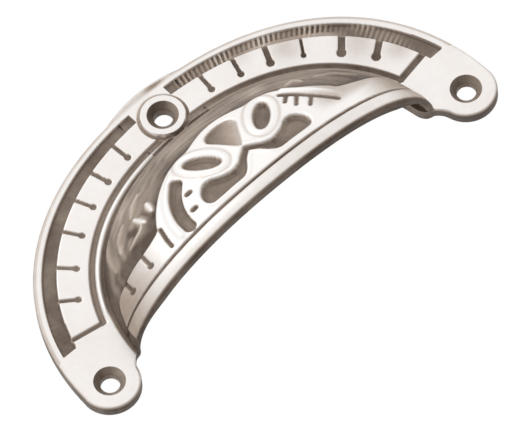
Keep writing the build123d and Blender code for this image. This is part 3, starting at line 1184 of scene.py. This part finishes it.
    def dress_wall(self, x: np.ndarray, z: np.ndarray, wall: np.ndarray, height: np.ndarray,
                   patina: np.ndarray) -> tuple[np.ndarray, np.ndarray]:
        """Adds fine ribs along the cup's foot, dark places, painted highlights and the lobes.

        Args:
            x: Front-view X.
            z: Front-view Z.
            wall: Mask of the sunk wall.
            height: Height so far.
            patina: Patina so far.

        Returns:
            New height and patina.
        """
        u = x - self.shift
        foot = CUP_ARCH.offset(x, z)
        wave = foot + sum(swing * np.sin(rate * x + lean * z)
                          for swing, rate, lean in self.rib_waves)
        turn = self.rib_turn[0] * x + self.rib_turn[1] * foot
        ribs = np.sin(2 * math.pi * wave / self.rib_pitch) * np.sin(turn) ** 2
        ribs = ribs * ease(*self.rib_start, foot) * ease(*self.rib_end, foot)
        height = height + self.rib_height * ribs * wall
        # Dark line at the foot and dark places, with painted highlights from light blots and rib
        # crests.
        marks_and_highlights = self.foot_shade * bump(self.foot_half_width, foot + self.foot_offset)
        marks_and_highlights = marks_and_highlights + sum(blot.patina(u, z) for blot in self.wall_blots) - self.rib_gleam * ribs
        eye = np.hypot(u - self.leaf_eye[0], z - self.leaf_eye[1])
        height = height - self.eye_depth * bump(self.eye_radius, eye) * wall
        marks_and_highlights = marks_and_highlights + self.eye_shade * bump(self.eye_shade_radius, eye)
        patina = patina + marks_and_highlights * wall
        for lobe in self.lobes:
            reach = lobe.reach(u, z)
            height = height + self.lobe_height * bump(self.lobe_foot, reach) * wall
            patina = patina * (1 - lobe.gleam * bump(self.lobe_gleam_foot, reach) * wall)
        return height, np.clip(patina, 0.0, 1.0)

    def petal(self) -> np.ndarray:
        """Outline of the right petal: an ellipse turned by its tilt.

        Returns:
            Points of shape (n, 2).
        """
        tilt = math.radians(self.petal_tilt)
        turn = np.linspace(0, 2 * math.pi, self.petal_points, endpoint=False)
        long, short = self.petal_axes[0] * np.cos(turn), self.petal_axes[1] * np.sin(turn)
        x = long * math.cos(tilt) - short * math.sin(tilt)
        z = long * math.sin(tilt) + short * math.cos(tilt)
        return np.array(self.petal_centre) + np.stack([x, z], axis=-1)

    def sink_shapes(self, u: np.ndarray, z: np.ndarray, wall: np.ndarray, height: np.ndarray,
                    patina: np.ndarray) -> tuple[np.ndarray, np.ndarray]:
        """Sinks petals, fan, pods and vein, and raises ridges round them and the two bands.

        Args:
            u: Signed distance from the ornament's middle.
            z: Front-view Z.
            wall: Mask of the sunk wall.
            height: Height so far.
            patina: Patina so far.

        Returns:
            New height and patina.
        """
        s = np.abs(u)
        petal = outline_offset(s, z, self.petal())
        fan = outline_offset(s, z, mirrored(self.fan))
        pod = outline_offset(s, z, mirrored(self.pod))
        band = bump(self.left_band_width, self.left_band.offset(u, z))
        right_band = bump(self.right_band_width, self.right_band.offset(u, z))
        band = band + right_band * ease(*self.right_band_fade, u)
        ridges = self.petal_ridge_height * bump(self.petal_ridge_width,
                                                petal - self.petal_ridge_width)
        ridges = ridges + self.pod_ridge_height * bump(self.pod_ridge_width,
                                                       pod - self.pod_ridge_width)
        height = height + ridges * (1 - wall) + self.band_height * band
        ring = bump(self.petal_ring_half_width, petal - self.petal_ring_offset)
        patina = patina + self.petal_ring_shade * ring * (1 - wall)
        patina = patina * (1 - np.clip(self.band_gleam * band, 0.0, 1.0))
        nearest = np.minimum.reduce([petal, pod, self.vein.offset(u, z)])
        light = ease(*self.fan_light, u + self.fan_light_lean * (self.fan_light_level - z))
        floor = self.deep_drop - self.dish * ease(*self.dish_edge, nearest)
        height = height - floor * ease(*self.deep_edge, nearest)
        height = height - self.fan_depth * (1 - self.fan_slope * light) * ease(*self.fan_edge, fan)
        deep = self.deep_shade * ease(*self.deep_shade_edge, nearest)
        shaded_fan = (self.fan_shade - self.fan_gleam * light) * ease(*self.deep_shade_edge, fan)
        return height, np.maximum.reduce([patina, deep, shaded_fan])

    def sink_lines(self, u: np.ndarray, z: np.ndarray, height: np.ndarray,
                   patina: np.ndarray) -> tuple[np.ndarray, np.ndarray]:
        """Cuts the line above the band, the left arc line, stroke, dots and ticks, and the comb.

        Args:
            u: Signed distance from the ornament's middle.
            z: Front-view Z.
            height: Height so far.
            patina: Patina so far.

        Returns:
            New height and patina.
        """
        nearest = np.abs(z - self.line_level) - self.line_half_width
        for stroke in (self.arc_line, self.leaf_stroke, *self.dots, *self.ticks, *self.comb):
            nearest = np.minimum(nearest, stroke.offset(u, z))
        shade = self.line_shade * ease(*self.line_shade_edge, nearest)
        return height - self.line_drop * ease(*self.line_edge, nearest), np.maximum(patina, shade)

    def round_lip(self, x: np.ndarray, z: np.ndarray, height: np.ndarray,
                  patina: np.ndarray) -> tuple[np.ndarray, np.ndarray]:
        """Turns the band's lower edge inward along a quarter round: h = -(R - sqrt(R^2 - t^2)).

        Args:
            x: Front-view X.
            z: Front-view Z.
            height: Height so far.
            patina: Patina so far.

        Returns:
            New height and patina.
        """
        s, radius = np.abs(x), self.lip_radius
        rise = np.clip(LIP_LEVEL + radius - z, 0.0, radius)
        turn_in = (radius - np.sqrt(radius**2 - rise**2)) * ease(*self.lip_fade, s)
        swell = self.swell_height * bump(self.swell_half_width, z - self.swell_level)
        ends = self.band_shade + self.band_end_shade * ease(*self.band_end_start, s)
        # Painted shadow in the corners by the ears, below the lip band's top.
        corner = self.corner_painted_shadow * ease(*self.corner_start, s) * ease(*self.corner_top, z)
        # Painted shade growing round the lip's turned-under edge.
        lip = self.lip_painted_shade * ease(*self.lip_painted_shade_edge, rise)
        patina = np.maximum.reduce([patina, ends * ease(*self.band_top, z), corner, lip])
        return height - turn_in + swell, patina


@dataclass
class Cup:
    """Hollow cup: a thick skin turned about the pull's length, open below and behind."""

    relief: CupRelief = field(default_factory=CupRelief)
    arch: Arch = CUP_ARCH
    reach: float = 19.2
    plate_thickness: float = 2.5
    centre_depth: float = 1.0
    root_depth: float = 1.3
    wall: float = 2.3
    end_thinning: float = 0.5
    end_start: Point = (30.0, 36.5)
    end_turn: float = 0.002
    columns: int = 420
    rows: int = 172
    lip_rows: int = 9
    lip_share: float = 0.018
    inner_rows: int = 26
    floor_rows: int = 4
    least_radius: float = 1e-3
    # Painted shade inside the cup and on the lip's flat underside.
    inner_painted_shade: float = 0.88
    floor_painted_shade: float = 0.95

    def skin(self, drop: float, share: np.ndarray,
             angle: np.ndarray) -> tuple[np.ndarray, np.ndarray]:
        """Skin points and outward normals.

        x = a cos^k t; the section at t is an ellipse about the X axis with radius share sin^k t,
        from the lip's level to the depth at which it enters the plate. The normal is the gradient
        of |x/a|^n + ((y/q)^2 + (z/b)^2)^(n/2).

        Args:
            drop: Distance inward from the front skin.
            share: Places from the lip, 0, to the root in the plate, 1.
            angle: Parameter angles along the pull.

        Returns:
            Points and normals of shape (len(share), len(angle), 3).
        """
        level, power = self.arch.level, self.arch.power
        a, b = self.arch.half_length - drop, self.arch.top - level - drop
        q = self.reach + self.plate_thickness - self.centre_depth - drop
        exponent = 2.0 / power
        x = a * np.sign(np.cos(angle)) * np.abs(np.cos(angle)) ** exponent
        rho = np.maximum(np.abs(np.sin(angle)) ** exponent, self.least_radius)
        start = np.arcsin(np.clip((LIP_LEVEL - level) / (b * rho), 0.0, 1.0))
        end = np.arccos(np.clip((self.root_depth - self.centre_depth) / (q * rho), -1.0, 1.0))
        turn = start[None, :] + (np.maximum(end, start) - start)[None, :] * share[:, None]
        y = -q * rho * np.cos(turn)
        z = b * rho * np.sin(turn)
        radial = np.maximum(np.sqrt((y / q) ** 2 + (z / b) ** 2), SMALL) ** (power - 2)
        along = np.sign(x) * np.abs(x / a) ** (power - 1) / a * np.ones_like(y)
        normal = np.stack([along, radial * y / q**2, radial * z / b**2], axis=-1)
        normal /= np.linalg.norm(normal, axis=-1, keepdims=True)
        height = np.maximum(z + level, LIP_LEVEL)
        x = np.broadcast_to(x, y.shape)
        return np.stack([x, y - self.centre_depth, height], axis=-1), normal

    def patch(self) -> Patch:
        """Closed surface of the cup: front skin with relief, root in the plate, inner skin, lip.

        The wall thins toward the lip's two ends, where it runs out into the ears.

        Returns:
            The surface, with its section wrapped round and its ends capped.
        """
        first = self.arch.angle_at_level(LIP_LEVEL) + self.end_turn
        angle = np.linspace(first, math.pi - first, self.columns)
        near_lip = 1 - np.cos(np.linspace(0, math.pi / 2, self.lip_rows))
        near_lip = self.lip_share * near_lip
        share = np.concatenate([near_lip, np.linspace(near_lip[-1], 1.0, self.rows)[1:]])
        front, normal = self.skin(0.0, share, angle)
        height, patina = self.relief.surface(front[..., 0], front[..., 2])
        front = front + normal * height[..., None]
        back_to_lip = np.linspace(1.0, 0.0, self.inner_rows)
        outside, _ = self.skin(0.0, back_to_lip, angle)
        inside, _ = self.skin(self.wall, back_to_lip, angle)
        thinning = self.end_thinning * ease(*self.end_start, np.abs(outside[..., :1]))
        inside = outside + (inside - outside) * (1 - thinning)
        steps = np.linspace(0.0, 1.0, self.floor_rows + 2)[1:-1, None, None]
        floor = inside[-1] + (front[0] - inside[-1]) * steps
        floor[..., 2] = LIP_LEVEL
        # Painted shade on the inner skin and on the lip's underside.
        shades = [patina, np.full(inside.shape[:2], self.inner_painted_shade),
                  np.full(floor.shape[:2], self.floor_painted_shade)]
        return Patch(np.concatenate([front, inside, floor]), np.concatenate(shades)).capped()


# Finishes


class Socket:
    """Shader socket or number with the arithmetic operators of the Math node."""

    def __init__(self, tree: "Tree", value: bpy.types.NodeSocket | float) -> None:
        """Wraps a socket or a number of a node tree."""
        self.tree = tree
        self.value = value

    def math(self, operation: str, other: "Socket | float", clamp: bool = False) -> "Socket":
        """Result of a Math node on this value and another.

        Args:
            operation: The node's operation.
            other: Second value.
            clamp: Whether the result is held between 0 and 1.

        Returns:
            The result.
        """
        settings = {"operation": operation, "use_clamp": clamp}
        return self.tree.node("ShaderNodeMath", settings, {0: self, 1: other})

    def __add__(self, other: "Socket | float") -> "Socket":
        """Sum."""
        return self.math("ADD", other)

    __radd__ = __add__

    def __mul__(self, other: "Socket | float") -> "Socket":
        """Product."""
        return self.math("MULTIPLY", other)

    __rmul__ = __mul__

    def __sub__(self, other: "Socket | float") -> "Socket":
        """Difference."""
        return self.math("SUBTRACT", other)

    def __rsub__(self, other: float) -> "Socket":
        """Difference from a number."""
        return Socket(self.tree, other).math("SUBTRACT", self)

    def clamped(self) -> "Socket":
        """Value held between 0 and 1."""
        return self.math("ADD", 0.0, clamp=True)


class Tree:
    """Node tree of one material, with one way to add a node."""

    def __init__(self, material: bpy.types.Material) -> None:
        """Starts from an empty tree."""
        material.use_nodes = True
        self.nodes = material.node_tree.nodes
        self.links = material.node_tree.links
        self.nodes.clear()

    def node(self, kind: str, settings: dict | None = None, inputs: dict | None = None,
             output: str | int = 0) -> Socket:
        """Adds a node.

        Args:
            kind: Node type.
            settings: Properties, set first.
            inputs: Values or sockets, by input name or index.
            output: Name or index of the output to return.

        Returns:
            The chosen output.
        """
        node = self.nodes.new(kind)
        for name, value in (settings or {}).items():
            setattr(node, name, value)
        for key, value in (inputs or {}).items():
            raw = value.value if isinstance(value, Socket) else value
            if isinstance(raw, bpy.types.NodeSocket):
                self.links.new(raw, node.inputs[key])
            else:
                node.inputs[key].default_value = raw
        return Socket(self, node.outputs[output])

    def noise(self, place: Socket, scale: float, detail: float) -> Socket:
        """Noise over a place, from 0 to 1."""
        inputs = {"Vector": place, "Scale": scale, "Detail": detail}
        return self.node("ShaderNodeTexNoise", {}, inputs)

    def blend(self, factor: Socket, first: Socket | Colour, second: Socket | Colour) -> Socket:
        """Colour between two colours."""
        settings = {"data_type": "RGBA", "clamp_factor": True}
        return self.node("ShaderNodeMix", settings, {0: factor, 6: first, 7: second}, 2)

    def finish(self, inputs: dict) -> None:
        """Adds the Principled shader and joins it to the material's output.

        Args:
            inputs: Values or sockets of the shader, by input name.
        """
        shader = self.node("ShaderNodeBsdfPrincipled", {}, inputs)
        output = self.nodes.new("ShaderNodeOutputMaterial")
        self.links.new(shader.value, output.inputs["Surface"])


@dataclass(frozen=True)
class AgedNickel:
    """Pale polished metal whose recesses keep a brown-grey patina. The patina values it reads also
    hold painted shade and highlights.

    Cloud and grain are noises. The pairs cloud_sway and grain_sway say how far each moves the
    patina: on bright metal, and how much more on the darkest.
    """

    bright: Colour = (0.95, 0.915, 0.89, 1.0)
    middle: Colour = (0.48, 0.39, 0.32, 1.0)
    dark: Colour = (0.125, 0.090, 0.068, 1.0)
    cloud_scale: float = 130.0
    cloud_detail: float = 4.0
    cloud_sway: Point = (0.05, 0.60)
    grain_scale: float = 900.0
    grain_detail: float = 3.0
    grain_sway: Point = (0.04, 0.16)
    metallic_loss: float = 0.65
    roughness: float = 0.36
    patina_roughness: float = 0.22
    grain_roughness: float = 0.10
    bump_strength: float = 0.18
    bump_distance: float = 0.0001
    grain_bump: float = 0.5

    def material(self) -> bpy.types.Material:
        """Material that reads each piece's patina attribute and its Object coordinates.

        Returns:
            The material.
        """
        material = bpy.data.materials.new("aged_nickel")
        tree = Tree(material)
        place = tree.node("ShaderNodeTexCoord", {}, {}, "Object")
        patina = tree.node("ShaderNodeAttribute", {"attribute_name": "patina"}, {}, "Fac")
        cloud = tree.noise(place, self.cloud_scale, self.cloud_detail)
        grain = tree.noise(place, self.grain_scale, self.grain_detail)
        amount = patina
        for noise, (least, rise) in ((cloud, self.cloud_sway), (grain, self.grain_sway)):
            amount = amount + (noise - 0.5) * (least + patina * rise)
        amount = amount.clamped()
        lower = (amount * 2.0).clamped()
        upper = (amount * 2.0 - 1.0).clamped()
        fine = tree.node("ShaderNodeBump", {}, {
            "Strength": self.bump_strength, "Distance": self.bump_distance,
            "Height": cloud + grain * self.grain_bump})
        rough = self.roughness + amount * self.patina_roughness
        tree.finish({
            "Base Color": tree.blend(upper, tree.blend(lower, self.bright, self.middle), self.dark),
            "Metallic": 1.0 - amount * self.metallic_loss,
            "Roughness": rough + (grain - 0.5) * self.grain_roughness,
            "Normal": fine})
        return material


@dataclass(frozen=True)
class PaleGround:
    """Plain pale floor."""

    colour: Colour = (0.86, 0.86, 0.85, 1.0)
    roughness: float = 0.9

    def material(self) -> bpy.types.Material:
        """Matt material of the floor."""
        material = bpy.data.materials.new("pale_ground")
        Tree(material).finish({"Base Color": self.colour, "Roughness": self.roughness})
        return material


# Studio


@dataclass(frozen=True)
class Lamp:
    """Square lamp that faces the pull: its direction from the pull, metres and watts."""

    name: str
    direction: Vector
    distance: float
    size: float
    power: float

    def add(self) -> None:
        """Adds the lamp to the scene."""
        data = bpy.data.lights.new(self.name, "AREA")
        data.size = self.size
        data.energy = self.power
        lamp = bpy.data.objects.new(self.name, data)
        lamp.location = self.direction.normalized() * self.distance
        lamp.rotation_euler = self.direction.to_track_quat("Z", "Y").to_euler()
        bpy.context.collection.objects.link(lamp)


@dataclass
class Studio:
    """Floor, light and camera.

    Angles are in degrees. The floor's level and half width are in metres, and it lies well below
    the camera, which looks up at the pull.
    """

    azimuth: float = -18.6
    elevation: float = -24.0
    roll: float = -47.1
    pixels_per_mm: float = 5.42
    origin_pixel: Point = (289.0, 233.8)
    image_size: tuple[int, int] = (523, 438)
    distance: float = 2000.0
    sensor_width: float = 36.0
    clip_end: float = 50.0
    plate_face: float = -2.5
    floor_level: float = -2.6
    floor_half_width: float = 9.0
    world_level: float = 0.62
    key_aside: float = 0.9
    key_toward: float = 0.35
    fill_direction: tuple[float, float, float] = (-0.9, -1.0, 0.1)

    def axes(self) -> tuple[Vector, Vector, Vector]:
        """Camera's directions: the level view turned by the roll.

        Returns:
            Its right, up and backward directions.
        """
        a, e, r = (math.radians(v) for v in (self.azimuth, self.elevation, self.roll))
        back = Vector((math.sin(a) * math.cos(e), -math.cos(a) * math.cos(e), math.sin(e)))
        level_right = Vector((0, 0, 1)).cross(back).normalized()
        level_up = back.cross(level_right)
        right = level_right * math.cos(r) + level_up * math.sin(r)
        up = level_up * math.cos(r) - level_right * math.sin(r)
        return right, up, back

    def add_camera(self) -> None:
        """Camera at the photograph's angle, aimed so that the plate's middle lands on its pixel."""
        right, up, back = self.axes()
        width, height = self.image_size
        data = bpy.data.cameras.new("camera")
        data.sensor_width = self.sensor_width
        data.lens = self.pixels_per_mm * self.distance * self.sensor_width / width
        data.clip_end = self.clip_end
        camera = bpy.data.objects.new("camera", data)
        aside = (width / 2 - self.origin_pixel[0]) / self.pixels_per_mm
        above = (self.origin_pixel[1] - height / 2) / self.pixels_per_mm
        target = Vector((0, self.plate_face, 0)) + right * aside + up * above
        place = (target + back * self.distance) * METRE
        turn = Matrix((right, up, back)).transposed()
        camera.matrix_world = Matrix.Translation(place) @ turn.to_4x4()
        bpy.context.collection.objects.link(camera)
        bpy.context.scene.camera = camera

    def add_world(self) -> None:
        """World that is plain white to camera, glossy and transmission rays, softer as a light."""
        world = bpy.data.worlds.new("studio")
        bpy.context.scene.world = world
        world.use_nodes = True
        nodes, links = world.node_tree.nodes, world.node_tree.links
        nodes.clear()
        path = nodes.new("ShaderNodeLightPath")
        seen = path.outputs["Is Camera Ray"]
        for ray in ("Is Glossy Ray", "Is Transmission Ray"):
            either = nodes.new("ShaderNodeMath")
            either.operation = "MAXIMUM"
            links.new(seen, either.inputs[0])
            links.new(path.outputs[ray], either.inputs[1])
            seen = either.outputs[0]
        level = nodes.new("ShaderNodeMapRange")
        level.inputs["To Min"].default_value = self.world_level
        level.inputs["To Max"].default_value = 1.0
        links.new(seen, level.inputs["Value"])
        background = nodes.new("ShaderNodeBackground")
        background.inputs["Color"].default_value = (1, 1, 1, 1)
        links.new(level.outputs["Result"], background.inputs["Strength"])
        output = nodes.new("ShaderNodeOutputWorld")
        links.new(background.outputs[0], output.inputs["Surface"])

    def add_floor(self) -> None:
        """Plain pale floor."""
        reach = self.floor_half_width
        corners = [(-reach, -reach), (reach, -reach), (reach, reach), (-reach, reach)]
        mesh = bpy.data.meshes.new("floor")
        mesh.from_pydata([(x, y, self.floor_level) for x, y in corners], [], [(0, 1, 2, 3)])
        mesh.materials.append(PaleGround().material())
        floor = bpy.data.objects.new("floor", mesh)
        bpy.context.collection.objects.link(floor)

    def build(self) -> None:
        """Adds camera, world, floor and lamps."""
        self.add_camera()
        self.add_world()
        self.add_floor()
        right, up, back = self.axes()
        key_direction = up - right * self.key_aside + back * self.key_toward
        Lamp("key", key_direction, distance=0.9, size=0.5, power=0.5).add()
        Lamp("fill", Vector(self.fill_direction), distance=1.0, size=0.7, power=0.1).add()
        bpy.context.scene.view_settings.view_transform = "Standard"


@dataclass
class CupPull:
    """Whole pull: five lengths of plate and the cup."""

    relief: PlateRelief = field(default_factory=PlateRelief)
    cup: Cup = field(default_factory=Cup)
    screw_x: float = 44.45

    def patches(self) -> dict[str, Patch]:
        """Builds the surfaces of all pieces.

        Returns:
            The surfaces, by name.
        """
        relief = self.relief
        boss = Boss(relief, (0.0, relief.boss_level), relief.boss_height)
        return {
            "plate_band_left": PlateBand(relief, Side.LEFT).patch(),
            "plate_band_right": PlateBand(relief, Side.RIGHT).patch(),
            "ear_left": Ear(relief, (-self.screw_x, 0.0), side=Side.LEFT).patch(),
            "ear_right": Ear(relief, (self.screw_x, 0.0), side=Side.RIGHT).patch(),
            "boss": boss.patch(),
            "cup": self.cup.patch(),
        }

    def build(self) -> list[bpy.types.Object]:
        """Builds the pieces, puts them on the frame's body and hides the plain casting.

        Returns:
            The pieces.
        """
        metal = AgedNickel().material()
        pieces = []
        for name, patch in self.patches().items():
            piece = build_piece(name, patch, metal)
            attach(piece, BODY)
            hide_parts(NODE)
            pieces.append(piece)
        return pieces


def main() -> None:
    """Builds the pull and its studio."""
    logging.basicConfig(level=logging.INFO)
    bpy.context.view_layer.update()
    for piece in CupPull().build():
        LOG.info("%s: %d faces", piece.name, len(piece.data.polygons))
    Studio().build()


if __name__ == "__main__":
    main()
